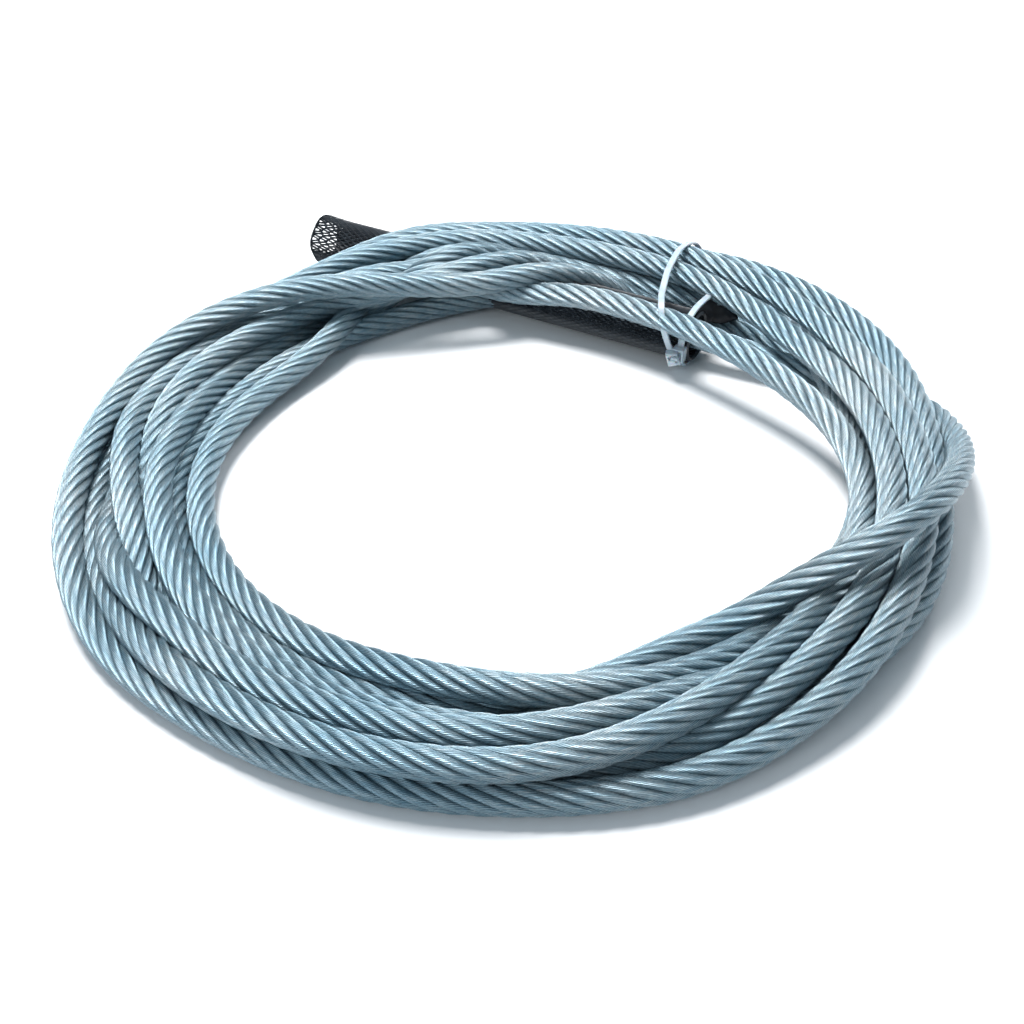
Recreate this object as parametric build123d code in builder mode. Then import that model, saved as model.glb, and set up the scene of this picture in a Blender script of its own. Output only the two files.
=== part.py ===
from build123d import *
import math
import os

os.makedirs("parts", exist_ok=True)

# A hank of galvanised steel wire rope: eight turns laid in a ring, one end made off in a
# swaged stud inside a plastic net sleeve, the other end taped, all held by two cable ties.
# Millimetres, +Z up, lying flat: the floor is Z = 0.

# ---- driving dimensions ----
ROPE_D = 10.0
COIL_X = -3.0
COIL_Y = -13.5

SLEEVE_R = 10.0
SLEEVE_WALL = 0.9
SLEEVE_LENGTH = 191.0
SLEEVE_FLARE = 0.9
FLARE_LENGTH = 14.0
SLEEVE_MOUTH = (76.0, 80.5)
SLEEVE_HEADING = 151.2
SLEEVE_Z = 11.5

BARREL_R = 8.9
BARREL_LENGTH = 72.0
THREAD_R = 8.0
THREAD_ROOT_R = 6.9
THREAD_PITCH = 2.0
THREAD_LENGTH = 90.0
STUD_INSET = 12.0

WRAP_R = 6.4
WRAP_LENGTH = 15.5
WRAP_START = (80.8, 103.6, 12.5)
WRAP_HEADING = -24.0

TIE_WIDTH = 2.7
TIE_THICKNESS = 1.2
HEAD_LENGTH = 6.0
HEAD_WIDTH = 5.0
HEAD_DEPTH = 4.3
TIE_GAP = 0.1
BUNDLE_TIE_AT = (64.4, 78.8)
BUNDLE_TIE_DIRECTION = 76.0
MOUTH_TIE_INSET = 1.9

# ---- the ring that the turns fill ----
# Azimuth in degrees about the ring's centre, then inner radius, outer radius, underside and
# top, all in rope diameters. The ring rides up over the sleeve between 45 and 112 degrees.
RING = [
    (0, 11.8, 15.2, 0.0, 2.9),
    (15, 11.8, 15.4, 1.1, 3.1),
    (30, 10.4, 15.7, 1.3, 3.0),
    (45, 9.3, 16.3, 2.2, 3.1),
    (60, 9.1, 16.3, 2.25, 3.12),
    (75, 9.4, 16.0, 2.25, 3.2),
    (110, 10.3, 15.9, 2.25, 3.3),
    (130, 10.3, 15.8, 1.0, 3.4),
    (150, 10.4, 15.8, 0.0, 2.9),
    (180, 10.7, 16.0, 0.0, 2.2),
    (210, 10.8, 16.0, 0.0, 2.3),
    (240, 11.0, 15.6, 0.0, 2.2),
    (270, 11.5, 15.5, 0.0, 2.4),
    (300, 11.7, 15.4, 0.0, 2.5),
    (330, 11.9, 15.2, 0.0, 2.1),
    (360, 11.8, 15.2, 0.0, 2.9),
]
RING_STEP = 15
RING_CHAMFER = 0.4 * ROPE_D


def ring_at(azimuth):
    """Inner radius, outer radius, underside and top at one azimuth, in millimetres."""
    for low, high in zip(RING, RING[1:]):
        if low[0] <= azimuth <= high[0]:
            share = (azimuth - low[0]) / (high[0] - low[0])
            return [ROPE_D * (a + share * (b - a)) for a, b in zip(low[1:], high[1:])]


def ring_plane(azimuth):
    """Upright plane through the ring's centre: X outwards, Y up."""
    angle = math.radians(azimuth)
    outwards = (math.cos(angle), math.sin(angle), 0)
    backwards = (math.sin(angle), -math.cos(angle), 0)
    return Plane(origin=(COIL_X, COIL_Y, 0), x_dir=outwards, z_dir=backwards)


def ring_section(azimuth):
    inner, outer, low, high = ring_at(azimuth)
    cut = RING_CHAMFER
    with BuildSketch(ring_plane(azimuth)) as section:
        with BuildLine():
            Polyline(
                (inner, low + cut),
                (inner + cut, low),
                (outer - cut, low),
                (outer, low + cut),
                (outer, high - cut),
                (outer - cut, high),
                (inner + cut, high),
                (inner, high - cut),
                close=True,
            )
        make_face()
    return section.sketch


with BuildPart() as rope_coil:
    for start in range(0, 360, RING_STEP):
        loft([ring_section(start), ring_section(start + RING_STEP)], ruled=True)
rope_coil.part.label = "rope_coil"

# ---- the rope's last turn, where it leaves the ring and goes back to the sleeve ----
# It runs up the inside of the ring, over the top, round the outside and back underneath.
# Azimuth in degrees, radius and height of the rope's centre in rope diameters.
LAST_TURN = [
    (286, 11.0, 0.50),
    (298, 10.55, 0.50),
    (308, 10.95, 0.80),
    (315.5, 11.6, 1.60),
    (321.5, 12.6, 2.65),
    (327.5, 13.65, 3.40),
    (335, 14.4, 3.55),
    (343, 14.9, 3.10),
    (351, 15.4, 2.40),
    (359, 15.95, 1.60),
    (365.5, 16.35, 0.95),
    (371.5, 16.55, 0.50),
    (378, 15.75, 0.50),
    (385, 14.1, 0.50),
    (391, 12.65, 0.75),
]


def on_sleeve_axis(inset):
    """A point on the sleeve's axis, a distance in from its right mouth."""
    heading = math.radians(SLEEVE_HEADING)
    x = COIL_X + SLEEVE_MOUTH[0] + inset * math.cos(heading)
    y = COIL_Y + SLEEVE_MOUTH[1] + inset * math.sin(heading)
    return (x, y, SLEEVE_Z)


def route_point(azimuth, radius, height):
    angle = math.radians(azimuth)
    x = COIL_X + ROPE_D * radius * math.cos(angle)
    y = COIL_Y + ROPE_D * radius * math.sin(angle)
    return (x, y, ROPE_D * height)


def bend_radii(points):
    """The largest tangent arc at each corner that leaves a tenth of each run straight."""
    radii = []
    for before, corner, after in zip(points, points[1:], points[2:]):
        run_in = Vector(*corner) - Vector(*before)
        run_out = Vector(*after) - Vector(*corner)
        half_turn = math.radians(run_in.get_angle(run_out) / 2)
        radii.append(0.45 * min(run_in.length, run_out.length) / math.tan(half_turn))
    return radii


route = [route_point(*station) for station in LAST_TURN]
route += [on_sleeve_axis(-16.0), on_sleeve_axis(STUD_INSET)]
radii = bend_radii(route)
print("rope bend radii:", [round(radius, 1) for radius in radii])

with BuildPart() as rope_last_turn:
    with BuildLine() as path:
        FilletPolyline(*route, radius=radii)
    with BuildSketch(Plane(origin=path.line @ 0, z_dir=path.line % 0)):
        Circle(ROPE_D / 2)
    sweep()
rope_last_turn.part.label = "rope_last_turn"
path_length = sum(edge.length for edge in path.edges())
tube_volume = math.pi * (ROPE_D / 2) ** 2 * path_length
volume_ratio = rope_last_turn.part.volume / tube_volume
print("last turn length", round(path_length, 1), "volume ratio", round(volume_ratio, 4))

# ---- the swaged stud, crimped on the rope's end inside the sleeve ----
heading = math.radians(SLEEVE_HEADING)
inwards = (math.cos(heading), math.sin(heading), 0)
sideways = (-math.sin(heading), math.cos(heading), 0)


def turned(inset, outline):
    """A round piece about the sleeve's axis, from an outline of (radius, distance along)."""
    origin = on_sleeve_axis(inset)
    with BuildPart() as piece:
        with BuildSketch(Plane(origin=origin, x_dir=(0, 0, 1), z_dir=sideways)):
            with BuildLine():
                Polyline(*outline, close=True)
            make_face()
        revolve(axis=Axis(origin, inwards))
    return piece.part


stud_outline = [(0, 0), (BARREL_R - 1.5, 0), (BARREL_R, 1.5), (BARREL_R, BARREL_LENGTH - 3.0)]
stud_outline.append((THREAD_ROOT_R, BARREL_LENGTH))
for turn in range(int(THREAD_LENGTH / THREAD_PITCH)):
    crest = BARREL_LENGTH + (turn + 0.5) * THREAD_PITCH
    stud_outline.append((THREAD_ROOT_R, crest - 0.45 * THREAD_PITCH))
    stud_outline.append((THREAD_R, crest - 0.08 * THREAD_PITCH))
    stud_outline.append((THREAD_R, crest + 0.08 * THREAD_PITCH))
    stud_outline.append((THREAD_ROOT_R, crest + 0.45 * THREAD_PITCH))
stud_end = BARREL_LENGTH + THREAD_LENGTH
stud_outline += [(THREAD_ROOT_R - 0.8, stud_end), (0, stud_end)]

with BuildPart() as swaged_stud:
    add(turned(STUD_INSET, stud_outline))
swaged_stud.part.label = "swaged_stud"

# ---- the net sleeve over the stud, open at both mouths and flared at the far one ----
flare_start = SLEEVE_LENGTH - FLARE_LENGTH
bore_r = SLEEVE_R - SLEEVE_WALL
sleeve_outline = [
    (bore_r, 0),
    (SLEEVE_R, 0),
    (SLEEVE_R, flare_start),
    (SLEEVE_R + SLEEVE_FLARE, SLEEVE_LENGTH),
    (bore_r + SLEEVE_FLARE, SLEEVE_LENGTH),
    (bore_r, flare_start),
]
with BuildPart() as net_sleeve:
    add(turned(0, sleeve_outline))
net_sleeve.part.label = "net_sleeve"

# ---- the tape round the plain end ----
wrap_angle = math.radians(WRAP_HEADING)
wrap_along = (math.cos(wrap_angle), math.sin(wrap_angle), 0)
wrap_origin = (COIL_X + WRAP_START[0], COIL_Y + WRAP_START[1], WRAP_START[2])
with BuildPart() as end_tape:
    with BuildSketch(Plane(origin=wrap_origin, z_dir=wrap_along)):
        Circle(WRAP_R)
    extrude(amount=WRAP_LENGTH)
    fillet(end_tape.faces().sort_by(Axis.X)[-1].edges(), 1.5)
end_tape.part.label = "end_tape"


# ---- cable ties: a flat strap, its locking head and the cut tail standing out of it ----
def tie(anchor, direction, outline, head_at, tail_length):
    """One tie in an upright plane through anchor, X along direction, just outside outline."""
    angle = math.radians(direction)
    plane = Plane(
        origin=(COIL_X + anchor[0], COIL_Y + anchor[1], 0),
        x_dir=(math.cos(angle), math.sin(angle), 0),
        z_dir=(math.sin(angle), -math.cos(angle), 0),
    )
    with BuildPart() as piece:
        with BuildSketch(plane):
            add(outline)
            offset(amount=TIE_THICKNESS, kind=Kind.ARC)
            add(outline, mode=Mode.SUBTRACT)
        extrude(amount=TIE_WIDTH / 2, both=True)
        with BuildSketch(plane):
            with Locations(head_at):
                Rectangle(HEAD_DEPTH, HEAD_LENGTH, align=(Align.MAX, Align.CENTER))
        extrude(amount=HEAD_WIDTH / 2, both=True)
        with BuildSketch(plane):
            with Locations((head_at[0] - HEAD_DEPTH, head_at[1])):
                Rectangle(tail_length, TIE_THICKNESS, align=(Align.MAX, Align.CENTER))
        extrude(amount=TIE_WIDTH / 2, both=True)
    return piece.part


# round the whole bundle and the sleeve
with BuildSketch() as bundle_outline:
    with BuildLine():
        Polyline(
            (12.4, 1.2),
            (6.9, 1.2),
            (1.2, 2.0),
            (-3.5, 5.0),
            (-5.2, 10.5),
            (-5.6, 19.0),
            (-4.8, 27.0),
            (-1.5, 31.0),
            (4.0, 32.0),
            (56.0, 32.0),
            (62.0, 29.0),
            (64.3, 25.0),
            (64.3, 22.0),
            (59.5, 19.0),
            (17.8, 3.5),
            close=True,
        )
    make_face()
with BuildPart() as bundle_tie:
    add(tie(BUNDLE_TIE_AT, BUNDLE_TIE_DIRECTION, bundle_outline.sketch, (-3.8, 8.5), 2.5))
bundle_tie.part.label = "bundle_tie"

# round the sleeve's mouth and the plain end that lies on it
mouth_x, mouth_y, mouth_z = on_sleeve_axis(MOUTH_TIE_INSET)
end_offset = (WRAP_START[0] - SLEEVE_MOUTH[0]) * inwards[1] - (WRAP_START[1] - SLEEVE_MOUTH[1]) * inwards[0]
with BuildSketch() as mouth_outline:
    with Locations((0, SLEEVE_Z)):
        Circle(SLEEVE_R + TIE_GAP)
    with Locations((end_offset, WRAP_START[2])):
        Circle(ROPE_D / 2 + TIE_GAP)
    make_hull()
with BuildPart() as mouth_tie:
    anchor = (mouth_x - COIL_X, mouth_y - COIL_Y)
    head_at = (-SLEEVE_R - TIE_GAP, 9.5)
    add(tie(anchor, SLEEVE_HEADING - 90, mouth_outline.sketch, head_at, 5.0))
mouth_tie.part.label = "mouth_tie"

for piece in (rope_coil, rope_last_turn, swaged_stud, net_sleeve, end_tape, bundle_tie, mouth_tie):
    export_step(piece.part, "parts/" + piece.part.label + ".step")
    box = piece.part.bounding_box()
    print(piece.part.label, "volume", round(piece.part.volume), "x", round(box.min.X, 2),
          round(box.max.X, 2), "y", round(box.min.Y, 2), round(box.max.Y, 2), "z",
          round(box.min.Z, 2), round(box.max.Z, 2))
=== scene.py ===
import math

import bmesh
import bpy
import numpy as np
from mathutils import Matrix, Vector


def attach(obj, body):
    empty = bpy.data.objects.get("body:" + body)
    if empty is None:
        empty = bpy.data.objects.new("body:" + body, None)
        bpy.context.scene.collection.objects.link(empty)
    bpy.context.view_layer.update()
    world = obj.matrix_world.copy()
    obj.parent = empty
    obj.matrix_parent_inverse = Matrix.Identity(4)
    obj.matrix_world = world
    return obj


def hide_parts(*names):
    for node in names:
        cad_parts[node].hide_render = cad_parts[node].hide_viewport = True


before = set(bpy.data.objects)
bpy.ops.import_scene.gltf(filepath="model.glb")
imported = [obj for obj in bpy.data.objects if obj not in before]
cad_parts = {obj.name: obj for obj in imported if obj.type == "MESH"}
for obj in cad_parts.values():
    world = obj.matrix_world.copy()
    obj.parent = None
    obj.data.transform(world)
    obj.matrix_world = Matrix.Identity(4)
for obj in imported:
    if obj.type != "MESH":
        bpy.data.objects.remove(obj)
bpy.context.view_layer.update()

# Camera: a three-quarter view from in front and 39 degrees above the floor, aimed a little in
# front of the ring's middle.
mm = 0.001
rope_d = 10 * mm
ring_middle = Vector((-3.0 * mm, -13.5 * mm, 0))
aim_ahead = 2.1 * rope_d
camera_aim = ring_middle - Vector((0, aim_ahead, 0))
camera_rise = math.radians(38.7)
camera_reach = 42.8 * rope_d
camera_lens = 42.6
camera_at = camera_aim + camera_reach * Vector((0, -math.cos(camera_rise), math.sin(camera_rise)))
bpy.ops.object.select_all(action="DESELECT")
bpy.ops.object.camera_add(location=camera_at, rotation=(math.pi / 2 - camera_rise, 0, 0))
bpy.context.object.data.lens = camera_lens
bpy.context.object.data.clip_start = 0.01
bpy.context.scene.camera = bpy.context.object

# Wire rope, 10 mm, laid up in a coil of eight turns that was pulled together by hand: each turn
# was thrown on the heap in its own size. It is stiff, so it only bends slowly and humps over the
# turns under it.
# Each turn's stations: degrees round the ring, radius and height in rope diameters, and whether
# that place is a firm one (1) or the rope may find its own bed there (0).
turns = [
    [(48, 13.4, 1.25, 1), (54, 13.15, 1.25, 1), (60, 13.1, 1.3, 1), (70, 13.2, 1.4, 1),
     (80, 13.1, 1.6, 1), (90, 12.3, 2.0, 1), (100, 11.6, 2.3, 1), (108, 11.45, 2.15, 1),
     (116, 11.65, 1.9, 1), (126, 12.2, 1.6, 1), (140, 12.7, 1.5, 1), (152, 12.9, 1.5, 1),
     (165, 13.1, 1.5, 1), (178, 13.05, 1.2, 1), (190, 12.9, 0.7, 0), (205, 12.9, 0.5, 0),
     (235, 12.95, 0.5, 0), (270, 12.9, 0.5, 0), (300, 13.3, 0.5, 0), (330, 13.4, 0.9, 0),
     (355, 13.3, 1.4, 0), (372, 13.6, 1.2, 0)],
    [(386, 13.9, 0.7, 1), (398, 14.0, 0.5, 1), (408, 13.8, 0.5, 1), (418, 13.1, 0.6, 0),
     (428, 12.0, 1.4, 0), (438, 11.2, 1.8, 1), (450, 10.4, 2.1, 1), (462, 10.2, 2.3, 1),
     (474, 10.5, 2.6, 1), (486, 11.4, 2.9, 1), (496, 12.6, 3.0, 1), (506, 13.7, 2.7, 1),
     (515, 14.7, 2.2, 1), (526, 15.05, 1.6, 1), (540, 15.1, 1.3, 1), (555, 15.3, 1.0, 1),
     (570, 15.25, 0.7, 1), (585, 15.0, 0.5, 1), (600, 14.85, 0.5, 1), (630, 14.95, 0.5, 1),
     (660, 15.0, 0.7, 1), (675, 14.75, 1.2, 1), (690, 14.4, 1.8, 1), (702, 14.2, 2.3, 1),
     (722, 13.9, 2.4, 1), (748, 14.0, 2.4, 1)],
    [(760, 14.4, 2.4, 1), (770, 14.7, 2.4, 1), (782, 14.95, 2.45, 1), (810, 15.05, 2.4, 1),
     (825, 15.3, 2.2, 1), (840, 15.0, 1.8, 1), (860, 14.8, 1.2, 1), (880, 14.75, 0.8, 1),
     (900, 14.6, 0.5, 1), (920, 14.5, 0.6, 1), (940, 14.65, 1.1, 1), (955, 14.75, 1.4, 1),
     (975, 14.8, 1.4, 1), (990, 14.75, 1.4, 1), (1005, 14.2, 1.5, 1), (1020, 13.4, 1.5, 1),
     (1035, 12.8, 1.5, 1), (1050, 12.6, 1.5, 1), (1062, 12.45, 1.5, 1), (1072, 12.25, 1.6, 1),
     (1082, 11.9, 1.8, 1), (1092, 10.95, 2.1, 1), (1102, 10.2, 2.35, 1)],
    [(1112, 9.75, 2.4, 1), (1120, 9.6, 2.4, 1), (1128, 9.6, 2.35, 1), (1142, 9.7, 2.2, 1),
     (1155, 10.1, 2.3, 1), (1165, 10.9, 1.9, 1), (1173, 11.9, 1.4, 1), (1182, 12.8, 1.9, 1),
     (1194, 13.1, 2.1, 1), (1206, 13.3, 1.9, 1), (1220, 13.6, 1.4, 1), (1232, 13.9, 1.4, 1),
     (1248, 13.85, 1.45, 1), (1260, 13.7, 1.4, 1), (1280, 13.5, 1.3, 1), (1300, 13.6, 0.9, 0),
     (1320, 13.9, 0.5, 0), (1350, 13.9, 0.5, 0), (1368, 14.2, 0.8, 1), (1385, 13.7, 1.4, 1),
     (1405, 13.45, 1.7, 1), (1420, 13.25, 2.2, 1), (1432, 12.95, 2.4, 1), (1444, 12.8, 2.35, 1),
     (1456, 12.8, 2.2, 1)],
    [(1466, 12.6, 2.15, 1), (1476, 12.65, 2.2, 1), (1484, 12.95, 2.25, 1), (1492, 13.3, 2.3, 1),
     (1505, 13.45, 2.4, 1), (1518, 13.65, 2.4, 1), (1530, 13.95, 2.35, 1), (1545, 14.5, 2.4, 1),
     (1560, 14.8, 2.1, 1), (1575, 14.7, 1.6, 1), (1590, 14.5, 1.0, 1), (1610, 14.1, 0.6, 0),
     (1625, 13.9, 0.6, 0), (1640, 14.2, 1.0, 1), (1655, 14.3, 1.4, 1), (1675, 14.0, 1.45, 1),
     (1700, 13.7, 1.4, 1), (1720, 13.5, 1.3, 1), (1740, 13.3, 0.7, 0), (1770, 13.6, 0.5, 0),
     (1795, 13.9, 0.8, 0), (1812, 14.1, 1.45, 0)],
    [(1828, 15.1, 1.0, 0), (1842, 15.8, 0.5, 1), (1856, 15.7, 0.5, 1), (1878, 14.3, 1.2, 0),
     (1890, 13.1, 2.5, 0), (1902, 12.8, 2.5, 0), (1920, 12.5, 1.4, 0), (1940, 12.2, 0.9, 1),
     (1960, 12.3, 1.0, 1), (1980, 12.5, 1.3, 1), (2000, 12.5, 1.2, 1), (2020, 12.7, 0.9, 1),
     (2045, 12.9, 0.7, 1), (2070, 13.1, 0.9, 1), (2090, 13.4, 0.8, 1), (2110, 13.9, 0.5, 1),
     (2125, 14.3, 0.5, 0), (2145, 14.7, 1.1, 0), (2165, 15.0, 1.5, 0), (2178, 15.7, 1.7, 1),
     (2190, 16.15, 1.9, 1)],
    [(2210, 16.3, 1.9, 1), (2225, 15.9, 1.8, 0), (2245, 14.9, 1.5, 0), (2262, 14.0, 2.4, 0),
     (2275, 12.9, 2.0, 0), (2287, 11.7, 0.9, 0), (2300, 10.7, 0.6, 1), (2320, 11.0, 0.7, 1),
     (2340, 11.25, 0.7, 1), (2360, 11.35, 0.6, 1), (2390, 11.5, 0.6, 1), (2415, 11.7, 1.0, 1),
     (2430, 12.0, 1.4, 1), (2445, 12.2, 1.2, 1), (2460, 12.3, 0.9, 1), (2480, 12.3, 0.6, 0),
     (2505, 12.6, 0.5, 0), (2525, 12.7, 1.0, 1), (2538, 13.2, 1.1, 1), (2550, 14.0, 0.8, 1)],
    [(2560, 14.7, 0.5, 1), (2572, 14.7, 0.5, 1), (2586, 13.6, 0.6, 0), (2600, 12.4, 1.3, 0),
     (2614, 12.2, 1.4, 0), (2628, 11.9, 1.0, 0), (2644, 11.7, 0.6, 1), (2670, 11.7, 0.6, 1),
     (2690, 11.9, 0.7, 1), (2710, 12.1, 0.6, 1), (2740, 12.3, 0.5, 1), (2765, 12.4, 0.5, 1),
     (2785, 12.1, 0.5, 1), (2797, 11.5, 0.5, 1)],
]
# The last turn leaves the heap, climbs over it and comes back under it to the sleeve.
last_turn = [
    (286, 11.0, 0.50),
    (298, 10.55, 0.50),
    (308, 10.95, 0.80),
    (315.5, 11.6, 1.60),
    (321.5, 12.6, 2.65),
    (327.5, 13.65, 3.40),
    (335, 14.4, 3.55),
    (343, 14.9, 3.10),
    (351, 15.4, 2.40),
    (359, 15.95, 1.60),
    (365.5, 16.35, 0.95),
    (371.5, 16.55, 0.50),
    (378, 15.75, 0.50),
    (385, 14.1, 0.50),
    (391, 12.65, 0.75),
]
sleeve_heading = math.radians(151.2)
sleeve_along = np.array([math.cos(sleeve_heading), math.sin(sleeve_heading), 0.0])
sleeve_mouth = np.array([7.6, 8.05, 1.15])
sleeve_length = 18.7
stud_mouth = 1.2
lead_in = 1.6

stations = np.array([station for turn in turns for station in turn])
degree_step = 2.0
bend_passes = 24
firm_passes = 8
degrees = np.arange(stations[0, 0], stations[-1, 0] + 0.1, degree_step)


def evened(values, passes):
    values = values.copy()
    for _ in range(passes):
        values[1:-1] = values[1:-1] * 0.5 + (values[:-2] + values[2:]) * 0.25
    return values


radius = evened(np.interp(degrees, stations[:, 0], stations[:, 1]), bend_passes)
height = evened(np.interp(degrees, stations[:, 0], stations[:, 2]), bend_passes)
firmness = evened(np.interp(degrees, stations[:, 0], stations[:, 3]), firm_passes)
around = np.radians(degrees)
laid = np.stack([radius * np.cos(around), radius * np.sin(around), height], -1)
route = np.array([(r * math.cos(math.radians(a)), r * math.sin(math.radians(a)), z)
                  for a, r, z in last_turn])
route = np.vstack([route, sleeve_mouth - sleeve_along * lead_in,
                   sleeve_mouth + sleeve_along * stud_mouth])

# The heap beds down: turns push each other a diameter apart, stay on the floor and off the
# sleeve, and each stays near where it was thrown. A push is spread along the rope, as it is stiff.
held = np.vstack([laid[-1:], route])
last_line = []
for before, here, after in zip(held[:-2], held[1:-1], held[2:]):
    for part in (0, 0.25, 0.5, 0.75):
        last_line.append(0.5 * (1 - part) ** 2 * before + (0.5 + part * (1 - part)) * here
                         + 0.5 * part ** 2 * after)
last_line = np.array(last_line)
free_count = len(laid)
thrown = np.vstack([laid, last_line])
rope_at = thrown.copy()
order = np.arange(len(thrown))
can_move = (order < free_count).astype(float)
loose_grip = 0.02
firm_grip = 0.16
grip = np.where(order < free_count, loose_grip, 1.0)
grip[:free_count] += firm_grip * firmness ** 2
bed_steps = 360
steps_between_looks = 8
looked_at_once = 256
near_enough = 1.25
own_neighbours = 6
sleeve_room = 1.35
shove_share = 0.9
pull_back = 0.25
# The deepest turn, from here on, runs on under the others through the sleeve's room.
clear_of_sleeve = order < np.searchsorted(degrees, 2580)
for step in range(bed_steps):
    if step % steps_between_looks == 0:
        near_pairs = []
        for first in range(0, len(rope_at), looked_at_once):
            block = rope_at[first:first + looked_at_once]
            apart = ((block[:, None, :] - rope_at[None]) ** 2).sum(-1)
            one, two = np.nonzero(apart < near_enough ** 2)
            one = one + first
            further_on = two - one > own_neighbours
            near_pairs.append(np.stack([one[further_on], two[further_on]], -1))
        one, two = np.vstack(near_pairs).T
    gap = rope_at[one] - rope_at[two]
    apart = np.linalg.norm(gap, axis=1) + 1e-6
    overlap = np.clip(1.0 - apart, 0, None)
    give_one = can_move[one] / grip[one]
    give_two = can_move[two] / grip[two]
    give = np.maximum(give_one + give_two, 1e-9)
    push = gap / apart[:, None] * overlap[:, None]
    shove = np.zeros_like(rope_at)
    touches = np.zeros(len(rope_at))
    np.add.at(shove, one, push * (give_one / give)[:, None])
    np.add.at(shove, two, -push * (give_two / give)[:, None])
    np.add.at(touches, one, overlap > 0)
    np.add.at(touches, two, overlap > 0)
    shove /= np.maximum(touches, 1)[:, None]
    from_mouth = rope_at - sleeve_mouth
    along = from_mouth @ sleeve_along
    outwards = from_mouth - np.outer(along, sleeve_along)
    clear = np.linalg.norm(outwards, axis=1) + 1e-6
    beside = (along > 0) & (along < sleeve_length) & clear_of_sleeve & (clear < sleeve_room)
    shove += outwards / clear[:, None] * np.where(beside, sleeve_room - clear, 0)[:, None]
    rope_at += shove * can_move[:, None] * shove_share
    back = (thrown - rope_at)[:free_count] * grip[:free_count, None] * pull_back
    rope_at[:free_count] += back
    moved = rope_at - thrown
    for _ in range(2):
        spread = moved.copy()
        spread[1:free_count - 1] = (moved[1:free_count - 1] * 0.5
                                    + (moved[:free_count - 2] + moved[2:free_count]) * 0.25)
        spread[free_count - 1] = 0
        moved = spread
    rope_at = thrown + moved
    rope_at[:, 2] = np.maximum(rope_at[:, 2], 0.5)

# The rope's own line: a smooth spline through the bedded turns, 45 points to a turn, then the
# last turn's route into the stud.
point_every = 4
bedded = rope_at[:free_count][::point_every]
if (free_count - 1) % point_every < 2:
    bedded = bedded[:-1]
line_points = np.vstack([bedded, route]) * rope_d + np.array(ring_middle)
rope_curve = bpy.data.curves.new("rope_core", "CURVE")
rope_curve.dimensions = "3D"
rope_curve.resolution_u = 8
rope_spline = rope_curve.splines.new("NURBS")
rope_spline.points.add(len(line_points) - 1)
for spline_point, place in zip(rope_spline.points, line_points):
    spline_point.co = (*place, 1.0)
rope_spline.order_u = 3
rope_spline.use_endpoint_u = True
rope_core = bpy.data.objects.new("rope_core", rope_curve)
bpy.context.collection.objects.link(rope_core)
line_mesh = bpy.data.meshes.new_from_object(rope_core)
line = np.array([vertex.co[:] for vertex in line_mesh.vertices])
bpy.data.meshes.remove(line_mesh)
run = np.r_[0, np.cumsum(np.linalg.norm(np.diff(line, axis=0), axis=1))]
rope_length = float(run[-1])
core_radius = 3.6 * mm
rope_curve.bevel_depth = core_radius
rope_curve.bevel_resolution = 2
rope_curve.use_fill_caps = True

# Eight strands, right-hand laid round the core, each a tube with a map of its own: along the
# strand in tenths of a metre, and once round it.
strand_count = 8
strand_radius = 1.42 * mm
strand_ring = 3.62 * mm
lay_length = 63 * mm
step_length = 2.4 * mm
strand_sides = 14
map_per_mm = 0.01
rope_steps = int(rope_length / step_length)
even_run = np.linspace(0, rope_length, rope_steps + 1)
even_line = np.stack([np.interp(even_run, run, line[:, axis]) for axis in range(3)], -1)
for _ in range(2):
    even_line[1:-1] = even_line[1:-1] * 0.5 + (even_line[:-2] + even_line[2:]) * 0.25
ahead = np.gradient(even_line, axis=0)
ahead /= np.linalg.norm(ahead, axis=1)[:, None]
side = np.zeros_like(ahead)
side[0] = np.cross(ahead[0], (0, 0, 1))
side[0] /= np.linalg.norm(side[0])
for index in range(1, len(ahead)):
    carried = side[index - 1] - ahead[index] * (side[index - 1] @ ahead[index])
    side[index] = carried / np.linalg.norm(carried)
upper = np.cross(ahead, side)
lay_turn = 2 * math.pi * even_run / lay_length
strands = []
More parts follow.
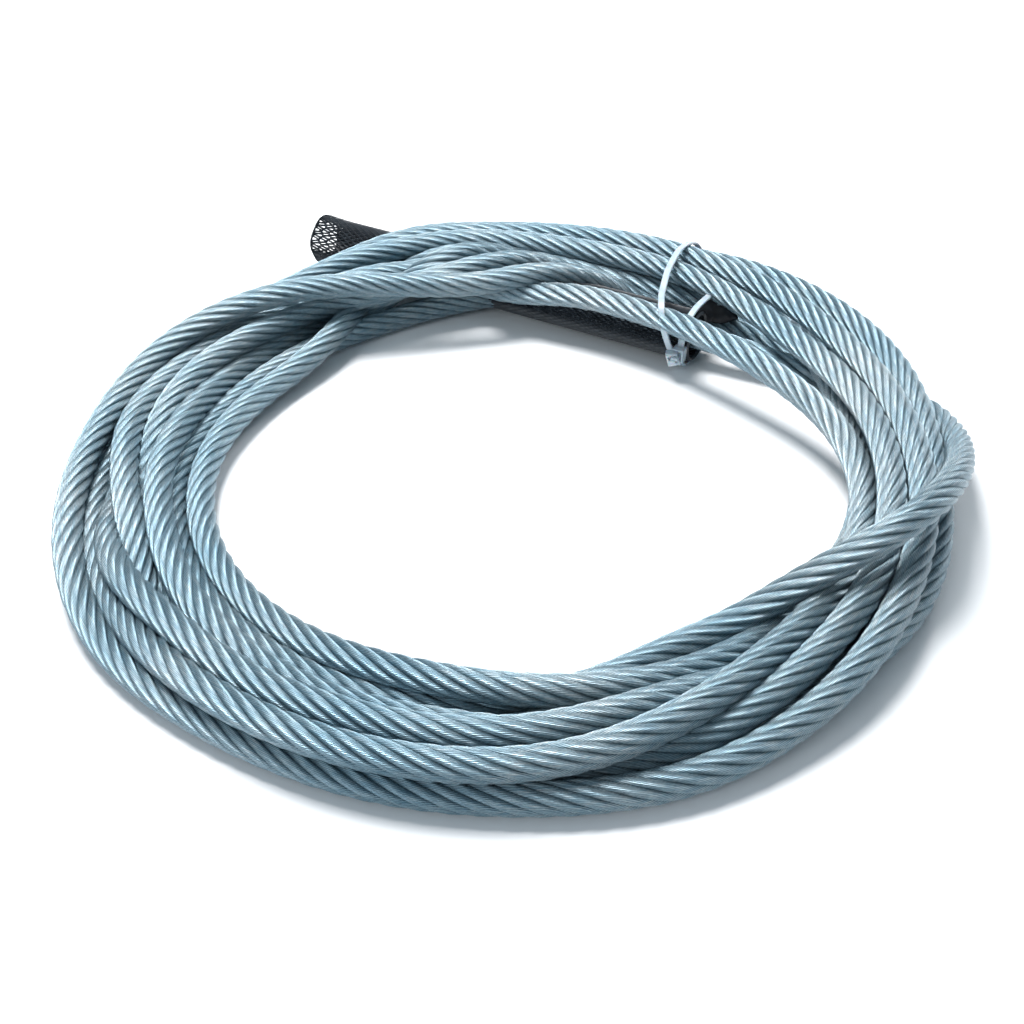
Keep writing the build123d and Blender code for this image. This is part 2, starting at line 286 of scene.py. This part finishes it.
for number in range(strand_count):
    angle = lay_turn + 2 * math.pi * number / strand_count
    out = side * np.cos(angle)[:, None] + upper * np.sin(angle)[:, None]
    middle = even_line + out * strand_ring
    tangent = np.gradient(middle, axis=0)
    tangent /= np.linalg.norm(tangent, axis=1)[:, None]
    across = np.cross(tangent, out)
    across /= np.linalg.norm(across, axis=1)[:, None]
    out = np.cross(across, tangent)
    strand_run = np.r_[0, np.cumsum(np.linalg.norm(np.diff(middle, axis=0), axis=1))]
    rings = []
    for corner in range(strand_sides):
        turn_angle = 2 * math.pi * corner / strand_sides
        rings.append(middle + (out * math.cos(turn_angle) + across * math.sin(turn_angle))
                     * strand_radius)
    corners = np.stack(rings, 1).reshape(-1, 3)
    low = np.arange(rope_steps)[:, None] * strand_sides
    this = np.arange(strand_sides)[None, :]
    following = (this + 1) % strand_sides
    faces = np.stack([low + this, low + following, low + strand_sides + following,
                      low + strand_sides + this], -1).reshape(-1, 4)
    first_cap = list(range(strand_sides))[::-1]
    last_cap = [rope_steps * strand_sides + corner for corner in range(strand_sides)]
    strand_mesh = bpy.data.meshes.new(f"strand_{number + 1:02d}")
    strand_mesh.from_pydata(corners.tolist(), [], faces.tolist() + [first_cap, last_cap])
    lay_map = strand_mesh.uv_layers.new(name="lay")
    lengthways = strand_run / mm * map_per_mm
    u_low = np.repeat(lengthways[:-1], strand_sides)
    u_high = np.repeat(lengthways[1:], strand_sides)
    v_low = np.tile(np.arange(strand_sides) / strand_sides, rope_steps)
    v_high = v_low + 1 / strand_sides
    map_values = np.stack([np.stack([u_low, v_low], -1), np.stack([u_low, v_high], -1),
                           np.stack([u_high, v_high], -1), np.stack([u_high, v_low], -1)], 1)
    map_values = np.vstack([map_values.reshape(-1, 2), np.zeros((2 * strand_sides, 2))])
    lay_map.data.foreach_set("uv", map_values.ravel())
    strand_mesh.polygons.foreach_set("use_smooth", [True] * len(faces) + [False, False])
    strand_mesh.update()
    strand = bpy.data.objects.new(f"strand_{number + 1:02d}", strand_mesh)
    bpy.context.collection.objects.link(strand)
    strands.append(strand)


class Value:
    """A number on its way through a finish's nodes."""

    def __init__(self, finish, socket):
        self.finish = finish
        self.socket = socket

    def maths(self, operation, *others):
        return self.finish.node("ShaderNodeMath", {"operation": operation},
                                dict(enumerate((self, *others))))

    def __add__(self, other):
        return self.maths("ADD", other)

    __radd__ = __add__

    def __mul__(self, other):
        return self.maths("MULTIPLY", other)

    __rmul__ = __mul__


class Finish:
    """A material and the nodes that make it."""

    def __init__(self, name):
        self.material = bpy.data.materials.new(name)
        self.material.use_nodes = True
        self.tree = self.material.node_tree
        self.shader = self.tree.nodes["Principled BSDF"]

    def node(self, kind, settings, sockets, outlet=0):
        made = self.tree.nodes.new(kind)
        for setting, value in settings.items():
            if setting == "stops":
                ramp = made.color_ramp
                while len(ramp.elements) < len(value):
                    ramp.elements.new(0.5)
                for element, (place, colour) in zip(ramp.elements, value):
                    element.position = place
                    element.color = (*colour, 1.0)
            else:
                setattr(made, setting, value)
        self.fill(made, sockets)
        return Value(self, made.outputs[outlet])

    def fill(self, made, sockets):
        for name, value in sockets.items():
            if isinstance(value, Value):
                self.tree.links.new(value.socket, made.inputs[name])
            else:
                made.inputs[name].default_value = value

    def surface(self, **sockets):
        self.fill(self.shader, {name.replace("_", " "): value for name, value in sockets.items()})
        return self.material


# Galvanised strand wire: dull zinc on drawn steel. The wires of a strand lie back against its
# lay, so they run nearly along the rope as fine ribs.
zinc = Finish("galvanised_strand")
lay_place = zinc.node("ShaderNodeUVMap", {"uv_map": "lay"}, {})
lay_u = zinc.node("ShaderNodeSeparateXYZ", {}, {"Vector": lay_place}, 0)
lay_v = zinc.node("ShaderNodeSeparateXYZ", {}, {"Vector": lay_place}, 1)
wires_in_strand = 18.0
wire_lay_mm = 21.0
wire_turn = 1.0 / map_per_mm / wire_lay_mm
wire_phase = (lay_v + lay_u * wire_turn) * wires_in_strand
wire_wave = (wire_phase * (2 * math.pi)).maths("SINE") * 0.5 + 0.5
place = zinc.node("ShaderNodeTexCoord", {}, {}, "Object")
patches = zinc.node("ShaderNodeTexNoise", {}, {"Vector": place, "Scale": 14.0, "Detail": 5.0})
grain = zinc.node("ShaderNodeTexNoise", {}, {"Vector": place, "Scale": 900.0, "Detail": 3.0})
wire_own = zinc.node("ShaderNodeTexNoise", {"noise_dimensions": "2D"},
                     {"Vector": zinc.node("ShaderNodeCombineXYZ", {},
                                          {"X": wire_phase.maths("FLOOR") * 7.3, "Y": lay_u * 9.0}),
                      "Scale": 1.0, "Detail": 2.0})
body = zinc.node("ShaderNodeValToRGB",
                 {"stops": [(0.30, (0.190, 0.330, 0.410)), (0.50, (0.350, 0.475, 0.535)),
                            (0.70, (0.600, 0.650, 0.655))]},
                 {"Fac": patches * 0.55 + wire_own * 0.45})
# Painted shade: along the wire wave the colour is mixed towards dark navy in the grooves between the
# wires, with random grain in the mix.
wire_ribs_painted_groove_shade = zinc.node("ShaderNodeMix", {"data_type": "RGBA", "blend_type": "MIX"},
                   {0: wire_wave * 0.65 + grain * 0.45, 6: (0.050, 0.085, 0.115, 1.0), 7: body}, 2)
wire_bump = zinc.node("ShaderNodeBump", {},
                      {"Strength": 0.8, "Distance": 0.16 * mm, "Height": wire_wave})
zinc_finish = zinc.surface(Base_Color=wire_ribs_painted_groove_shade, Metallic=0.9,
                           Roughness=0.24 + grain * 0.20 + patches * 0.08, Normal=wire_bump)
for strand in strands:
    strand.data.materials.append(zinc_finish)
    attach(strand, "root")

# The core between the strands is the same wire, coloured near black as painted shade from the strands
# round it. It carries the strands, and with them stands for both solids of the rope.
shaded_core = Finish("core_painted_shade")
core_place = shaded_core.node("ShaderNodeTexCoord", {}, {}, "Object")
core_grain = shaded_core.node("ShaderNodeTexNoise", {}, {"Vector": core_place, "Scale": 500.0})
core_colour = shaded_core.node("ShaderNodeValToRGB",
                           {"stops": [(0.3, (0.006, 0.011, 0.018)), (0.7, (0.022, 0.036, 0.050))]},
                           {"Fac": core_grain})
rope_curve.materials.append(shaded_core.surface(Base_Color=core_colour, Metallic=0.4, Roughness=0.6))
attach(rope_core, "root")
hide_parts("rope_coil", "rope_last_turn")

# Swaged stud: a steel barrel pressed on the rope's end, its threaded shank inside the sleeve. The
# solid is right as it is and only takes its dull plated finish here.
plated = Finish("plated_stud")
stud_place = plated.node("ShaderNodeTexCoord", {}, {}, "Object")
stud_grain = plated.node("ShaderNodeTexNoise", {},
                         {"Vector": stud_place, "Scale": 240.0, "Detail": 5.0})
stud_colour = plated.node("ShaderNodeValToRGB",
                          {"stops": [(0.3, (0.16, 0.19, 0.22)), (0.7, (0.34, 0.38, 0.41))]},
                          {"Fac": stud_grain})
stud_bump = plated.node("ShaderNodeBump", {},
                        {"Strength": 0.25, "Distance": 0.1 * mm, "Height": stud_grain})
plated_finish = plated.surface(Base_Color=stud_colour, Metallic=0.9,
                               Roughness=0.28 + stud_grain * 0.25, Normal=stud_bump)
stud = bpy.data.objects["swaged_stud"]
for slot in stud.material_slots:
    slot.material = plated_finish

# Net sleeve: extruded black polyethylene netting, diamond cells, pulled over the stud. Its left
# end is cut across the cells and opens a little.
net_around = 30
net_along = 44
sleeve_radius = 9.75 * mm
opened_share = 0.10
opened_flare = 0.9 * mm
ruffle_height = 0.35 * mm
scallop_height = 1.6 * mm
wire_thickness = 1.55 * mm
bpy.ops.object.select_all(action="DESELECT")
bpy.ops.mesh.primitive_grid_add(x_subdivisions=net_along, y_subdivisions=net_around, size=1)
net = bpy.context.object
net.name = "sleeve_net"
net.data.name = "sleeve_net"
bpy.ops.object.mode_set(mode="EDIT")
bpy.ops.mesh.select_mode(type="EDGE")
bpy.ops.mesh.select_all(action="SELECT")
bpy.ops.mesh.poke()
net_bm = bmesh.from_edit_mesh(net.data)
for edge in net_bm.edges:
    run_of_edge = edge.verts[0].co - edge.verts[1].co
    straight = min(abs(run_of_edge.x), abs(run_of_edge.y)) < 1e-6
    edge.select_set(straight and not edge.is_boundary)
bmesh.update_edit_mesh(net.data)
bpy.ops.mesh.dissolve_edges(use_verts=False)
bpy.ops.object.mode_set(mode="OBJECT")
mouth_place = Vector(sleeve_mouth * rope_d) + ring_middle
net_axis = Vector(sleeve_along)
net_side = Vector((-net_axis.y, net_axis.x, 0))
full_length = sleeve_length * rope_d
for vertex in net.data.vertices:
    down = vertex.co.x + 0.5
    turn_angle = 2 * math.pi * vertex.co.y
    opened = max(0.0, (down - (1 - opened_share)) / opened_share)
    ruffle = ruffle_height * math.sin(5 * turn_angle + 1.0) * opened
    reach = sleeve_radius + opened_flare * opened ** 2 + ruffle
    scallop = scallop_height * opened * math.sin(net_around / 2 * turn_angle)
    lift = Vector((0, 0, math.cos(turn_angle) * reach))
    vertex.co = (mouth_place + net_axis * (down * full_length + scallop)
                 + net_side * math.sin(turn_angle) * reach + lift)
net_bm = bmesh.new()
net_bm.from_mesh(net.data)
bmesh.ops.remove_doubles(net_bm, verts=net_bm.verts, dist=0.02 * mm)
bmesh.ops.recalc_face_normals(net_bm, faces=net_bm.faces)
net_bm.to_mesh(net.data)
net_bm.free()
net_wires = net.modifiers.new("net_wires", "WIREFRAME")
net_wires.thickness = wire_thickness
net_wires.use_even_offset = False
net_wires.use_boundary = True
bpy.ops.object.modifier_apply(modifier="net_wires")
bpy.ops.object.shade_smooth_by_angle(angle=math.radians(50))
netting = Finish("black_netting")
net_place = netting.node("ShaderNodeTexCoord", {}, {}, "Object")
net_grain = netting.node("ShaderNodeTexNoise", {},
                         {"Vector": net_place, "Scale": 320.0, "Detail": 4.0})
net_colour = netting.node("ShaderNodeValToRGB",
                          {"stops": [(0.3, (0.006, 0.009, 0.013)), (0.75, (0.020, 0.027, 0.036))]},
                          {"Fac": net_grain})
net_bump = netting.node("ShaderNodeBump", {},
                        {"Strength": 0.3, "Distance": 0.1 * mm, "Height": net_grain})
net.data.materials.append(netting.surface(Base_Color=net_colour, Roughness=0.34 + net_grain * 0.2,
                                          Normal=net_bump))
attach(net, "root")
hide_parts("net_sleeve")

# End wrap: black cloth tape wound round the rope's cut end in overlapping laps and pinched past
# it to a ragged tip, so that the wires can't spring apart or prick.
wrap_heading = math.radians(-24.0)
wrap_along = Vector((math.cos(wrap_heading), math.sin(wrap_heading), 0))
wrap_start = ring_middle + Vector((80.8, 103.6, 12.5)) * mm
wrap_length = 15 * mm
wrap_rings = 26
wrap_sides = 40
wrap_radius = 5.55 * mm
wrap_laps = 3.4
lap_step = 0.35 * mm
pinch_from = 0.62
pinch_depth = 0.55
ragged_from = 0.85
ragged_length = 1.4 * mm
bpy.ops.object.select_all(action="DESELECT")
bpy.ops.mesh.primitive_cylinder_add(vertices=wrap_sides, radius=1, depth=1, end_fill_type="NGON")
wrap = bpy.context.object
wrap.name = "end_wrap"
wrap.data.name = "end_wrap"
bpy.ops.object.mode_set(mode="EDIT")
bpy.ops.mesh.select_mode(type="EDGE")
bpy.ops.mesh.select_all(action="DESELECT")
wrap_bm = bmesh.from_edit_mesh(wrap.data)
for edge in wrap_bm.edges:
    edge.select_set(abs(edge.verts[0].co.z - edge.verts[1].co.z) > 0.5)
bmesh.update_edit_mesh(wrap.data)
bpy.ops.mesh.subdivide(number_cuts=wrap_rings)
bpy.ops.object.mode_set(mode="OBJECT")
wrap_side = Vector((-wrap_along.y, wrap_along.x, 0))
for vertex in wrap.data.vertices:
    down = vertex.co.z + 0.5
    turn_angle = math.atan2(vertex.co.y, vertex.co.x)
    lap = (down * wrap_laps + turn_angle / (2 * math.pi)) % 1.0
    pinch = 1.0 - pinch_depth * max(0.0, (down - pinch_from) / (1 - pinch_from)) ** 1.6
    lumps = (0.18 * math.sin(3 * turn_angle + 9 * down)
             + 0.12 * math.sin(7 * turn_angle - 14 * down)) * mm
    reach = (wrap_radius + lap_step * lap + lumps) * pinch
    ragged_share = max(0.0, down - ragged_from) / (1 - ragged_from)
    ragged = ragged_length * ragged_share * math.sin(4 * turn_angle + 0.7)
    vertex.co = (wrap_start + wrap_along * (down * wrap_length + ragged)
                 + wrap_side * math.cos(turn_angle) * reach
                 + Vector((0, 0, math.sin(turn_angle) * reach)))
bpy.ops.object.shade_smooth_by_angle(angle=math.radians(40))
taped = Finish("black_cloth_tape")
tape_place = taped.node("ShaderNodeTexCoord", {}, {}, "Object")
tape_grain = taped.node("ShaderNodeTexNoise", {},
                        {"Vector": tape_place, "Scale": 420.0, "Detail": 4.0})
tape_colour = taped.node("ShaderNodeValToRGB",
                         {"stops": [(0.3, (0.004, 0.005, 0.007)), (0.75, (0.016, 0.020, 0.027))]},
                         {"Fac": tape_grain})
tape_bump = taped.node("ShaderNodeBump", {},
                       {"Strength": 0.5, "Distance": 0.15 * mm, "Height": tape_grain})
wrap.data.materials.append(taped.surface(Base_Color=tape_colour, Roughness=0.45 + tape_grain * 0.3,
                                         Normal=tape_bump))
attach(wrap, "root")
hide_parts("end_tape")

# Cable ties: moulded natural nylon straps, a toothed tongue pulled through a square locking head
# and cut off short. One holds the whole heap and the sleeve, one the sleeve's mouth and the end.
strap_width = 2.7 * mm
strap_thickness = 1.05 * mm
tooth_pitch = 1.1 * mm
tooth_height = 0.22 * mm
soft_corner = 0.28 * mm
head_size = (5.0, 4.3, 6.0)
tongue_thickness = 1.2
tongue_from = 2.0
slot_rim = 0.2
slot_depth = 0.25


def nylon_tie(name, waypoints, across, head_at, head_up, head_out, tail_length):
    loop = bpy.data.curves.new(name + "_line", "CURVE")
    loop.dimensions = "3D"
    loop.resolution_u = 12
    ring = loop.splines.new("NURBS")
    ring.points.add(len(waypoints) - 1)
    for ring_point, waypoint in zip(ring.points, waypoints):
        ring_point.co = (*(ring_middle + Vector(waypoint) * rope_d), 1.0)
    ring.order_u = 3
    ring.use_cyclic_u = True
    loop_object = bpy.data.objects.new(name + "_line", loop)
    bpy.context.collection.objects.link(loop_object)
    loop_mesh = bpy.data.meshes.new_from_object(loop_object)
    corners = np.array([vertex.co[:] for vertex in loop_mesh.vertices])
    bpy.data.meshes.remove(loop_mesh)
    bpy.data.objects.remove(loop_object)
    closed = np.vstack([corners, corners[:1]])
    loop_run = np.r_[0, np.cumsum(np.linalg.norm(np.diff(closed, axis=0), axis=1))]
    teeth = int(loop_run[-1] / tooth_pitch)
    count = teeth * 4
    even = np.linspace(0, loop_run[-1], count, endpoint=False)
    strap_line = np.stack([np.interp(even, loop_run, closed[:, axis]) for axis in range(3)], -1)
    centre = strap_line.mean(axis=0)
    tangent = np.roll(strap_line, -1, axis=0) - np.roll(strap_line, 1, axis=0)
    tangent /= np.linalg.norm(tangent, axis=1)[:, None]
    across = np.array(Vector(across).normalized())
    outward = np.cross(tangent, across)
    outward /= np.linalg.norm(outward, axis=1)[:, None]
    if ((strap_line - centre) * outward).sum() < 0:
        outward = -outward
    half = strap_width / 2
    tooth = np.tile((0.0, 1.0, 1.0, 0.0), teeth)[:, None] * tooth_height
    soft = soft_corner
    profile = [(-half, soft), (-half + soft, 0), (-half * 0.62, 0), (half * 0.62, 0),
               (half - soft, 0), (half, soft), (half, strap_thickness - soft),
               (half - soft, strap_thickness), (-half + soft, strap_thickness),
               (-half, strap_thickness - soft)]
    rings = []
    for number, (sideways, out) in enumerate(profile):
        bite = tooth if number in (2, 3) else 0
        rings.append(strap_line + across * sideways + outward * (out + bite))
    points = np.stack(rings, 1).reshape(-1, 3)
    sides = len(profile)
    faces = []
    for step in range(count):
        following = (step + 1) % count
        for side_number in range(sides):
            neighbour = (side_number + 1) % sides
            faces.append((step * sides + side_number, step * sides + neighbour,
                          following * sides + neighbour, following * sides + side_number))
    mesh = bpy.data.meshes.new(name)
    mesh.from_pydata(points.tolist(), [], faces)
    tie = bpy.data.objects.new(name, mesh)
    bpy.context.collection.objects.link(tie)
    # The locking head, a block with a slot, and the cut tongue that stands out of it.
    head_up = Vector(head_up).normalized()
    head_out = Vector(head_out)
    head_out = (head_out - head_up * head_out.dot(head_up)).normalized()
    head_side = head_up.cross(head_out)
    middle = ring_middle + Vector(head_at) * rope_d
    made = [tie]
    tongue_size = (strap_width / mm, tail_length, tongue_thickness)
    for size, offset, slotted, rounding in (
            (head_size, 0.0, True, 0.45 * mm),
            (tongue_size, tongue_from + tail_length / 2, False, 0.2 * mm)):
        bpy.ops.object.select_all(action="DESELECT")
        bpy.ops.mesh.primitive_cube_add(size=1)
        block = bpy.context.object
        bpy.ops.object.mode_set(mode="EDIT")
        bpy.ops.mesh.select_mode(type="FACE")
        bpy.ops.mesh.select_all(action="DESELECT")
        if slotted:
            block_bm = bmesh.from_edit_mesh(block.data)
            for face in block_bm.faces:
                face.select_set(face.normal.y > 0.9)
            bmesh.update_edit_mesh(block.data)
            bpy.ops.mesh.inset(thickness=slot_rim)
            bpy.ops.mesh.extrude_region_move(
                TRANSFORM_OT_translate={"value": (0, -slot_depth, 0)})
        bpy.ops.object.mode_set(mode="OBJECT")
        for vertex in block.data.vertices:
            local = vertex.co.copy()
            vertex.co = (middle + head_side * local.x * size[0] * mm
                         + head_out * (local.y * size[1] + offset) * mm
                         + head_up * local.z * size[2] * mm)
        edges = block.modifiers.new("soft_edges", "BEVEL")
        edges.width = rounding
        edges.segments = 2
        edges.limit_method = "ANGLE"
        bpy.ops.object.modifier_apply(modifier="soft_edges")
        made.append(block)
    bpy.ops.object.select_all(action="DESELECT")
    for part in made:
        part.select_set(True)
    bpy.context.view_layer.objects.active = tie
    bpy.ops.object.join()
    bpy.ops.object.mode_set(mode="EDIT")
    bpy.ops.mesh.select_all(action="SELECT")
    bpy.ops.mesh.normals_make_consistent(inside=False)
    bpy.ops.object.mode_set(mode="OBJECT")
    bpy.ops.object.shade_smooth_by_angle(angle=math.radians(35))
    return tie


heap_strap = [
    (8.45, 14.05, 1.9), (8.1, 13.75, 2.55), (7.4, 12.5, 3.02), (6.95, 11.5, 3.06), (6.5, 10.3, 2.96),
    (6.25, 9.2, 2.92), (6.03, 8.2, 2.95), (5.97, 7.45, 2.88), (6.02, 7.05, 2.4), (6.22, 7.05, 1.7),
    (6.5, 7.1, 1.0), (6.9, 7.3, 0.25), (7.4, 8.0, 0.05), (7.9, 9.8, 0.05), (8.25, 11.8, 0.05),
    (8.45, 13.2, 0.06), (8.6, 14.05, 0.7),
]
heap_tie = nylon_tie("heap_tie", heap_strap, (0.93, -0.36, 0), (6.55, 6.9, 0.85), (-0.35, -0.1, 1),
                     (-0.2, -1, 0), 2.4)
mouth_out = Vector((math.cos(math.radians(61.2)), math.sin(math.radians(61.2)), 0))
mouth_middle = Vector(sleeve_mouth + sleeve_along * 0.2)
mouth_strap = [
    tuple(Vector((mouth_middle.x, mouth_middle.y, 0)) + mouth_out * reach + Vector((0, 0, height)))
    for reach, height in ((-1.18, 1.15), (-0.95, 2.0), (0.0, 2.32), (1.2, 2.2), (2.5, 2.0),
                          (3.1, 1.4), (2.9, 0.7), (2.0, 0.15), (1.2, 0.06), (0.0, 0.04), (-0.95, 0.25))
]
mouth_head = tuple(Vector((mouth_middle.x, mouth_middle.y, 0.95)) - mouth_out * 1.3)
mouth_tie = nylon_tie("mouth_strap", mouth_strap, tuple(sleeve_along), mouth_head, (0, 0, 1),
                      tuple(-mouth_out), 3.2)
nylon = Finish("natural_nylon")
tie_place = nylon.node("ShaderNodeTexCoord", {}, {}, "Object")
tie_grain = nylon.node("ShaderNodeTexNoise", {},
                       {"Vector": tie_place, "Scale": 160.0, "Detail": 3.0})
tie_colour = nylon.node("ShaderNodeValToRGB",
                        {"stops": [(0.3, (0.40, 0.50, 0.57)), (0.7, (0.60, 0.69, 0.75))]},
                        {"Fac": tie_grain})
tie_bump = nylon.node("ShaderNodeBump", {},
                      {"Strength": 0.15, "Distance": 0.1 * mm, "Height": tie_grain})
nylon_finish = nylon.surface(Base_Color=tie_colour, Roughness=0.30 + tie_grain * 0.15,
                             Normal=tie_bump, Subsurface_Weight=0.2, Subsurface_Scale=0.002,
                             Transmission_Weight=0.25)
for tie, stood_for in ((heap_tie, "bundle_tie"), (mouth_tie, "mouth_tie")):
    tie.data.materials.append(nylon_finish)
    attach(tie, "root")
    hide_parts(stood_for)

# The studio: a pale painted floor, a broad soft light overhead, and weaker ones behind and in
# front. The air is a pale blue-grey, which the zinc takes its tint from.
bpy.ops.object.select_all(action="DESELECT")
bpy.ops.mesh.primitive_plane_add(size=8, location=(0, 0, -0.0005))
floor = bpy.context.object
floor.name = "studio_floor"
floor_paint = Finish("pale_floor")
floor_place = floor_paint.node("ShaderNodeTexCoord", {}, {}, "Object")
floor_grain = floor_paint.node("ShaderNodeTexNoise", {}, {"Vector": floor_place, "Scale": 3.0})
floor_colour = floor_paint.node("ShaderNodeValToRGB",
                                {"stops": [(0.3, (0.86, 0.87, 0.88)), (0.7, (0.90, 0.90, 0.91))]},
                                {"Fac": floor_grain})
floor.data.materials.append(floor_paint.surface(Base_Color=floor_colour, Roughness=0.8))


def soft_light(name, place, size, power, colour):
    bpy.ops.object.light_add(type="AREA", location=place)
    lamp = bpy.context.object
    lamp.name = name
    lamp.data.shape = "DISK"
    lamp.data.size = size
    lamp.data.energy = power
    lamp.data.color = colour
    lamp.rotation_euler = (-Vector(place)).to_track_quat("-Z", "Y").to_euler()


soft_light("softbox_top", (-0.25, 0.35, 1.1), 0.55, 24, (1.0, 1.0, 1.0))
soft_light("softbox_back", (0.6, 1.0, 0.6), 0.4, 7, (0.97, 0.99, 1.0))
soft_light("softbox_front", (-0.9, -1.1, 0.9), 0.7, 6, (0.90, 0.96, 1.0))
world = bpy.data.worlds.new("studio_air")
world.use_nodes = True
world.node_tree.nodes["Background"].inputs["Color"].default_value = (0.55, 0.66, 0.74, 1.0)
world.node_tree.nodes["Background"].inputs["Strength"].default_value = 0.5
bpy.context.scene.world = world
bpy.context.scene.view_settings.view_transform = "Standard"
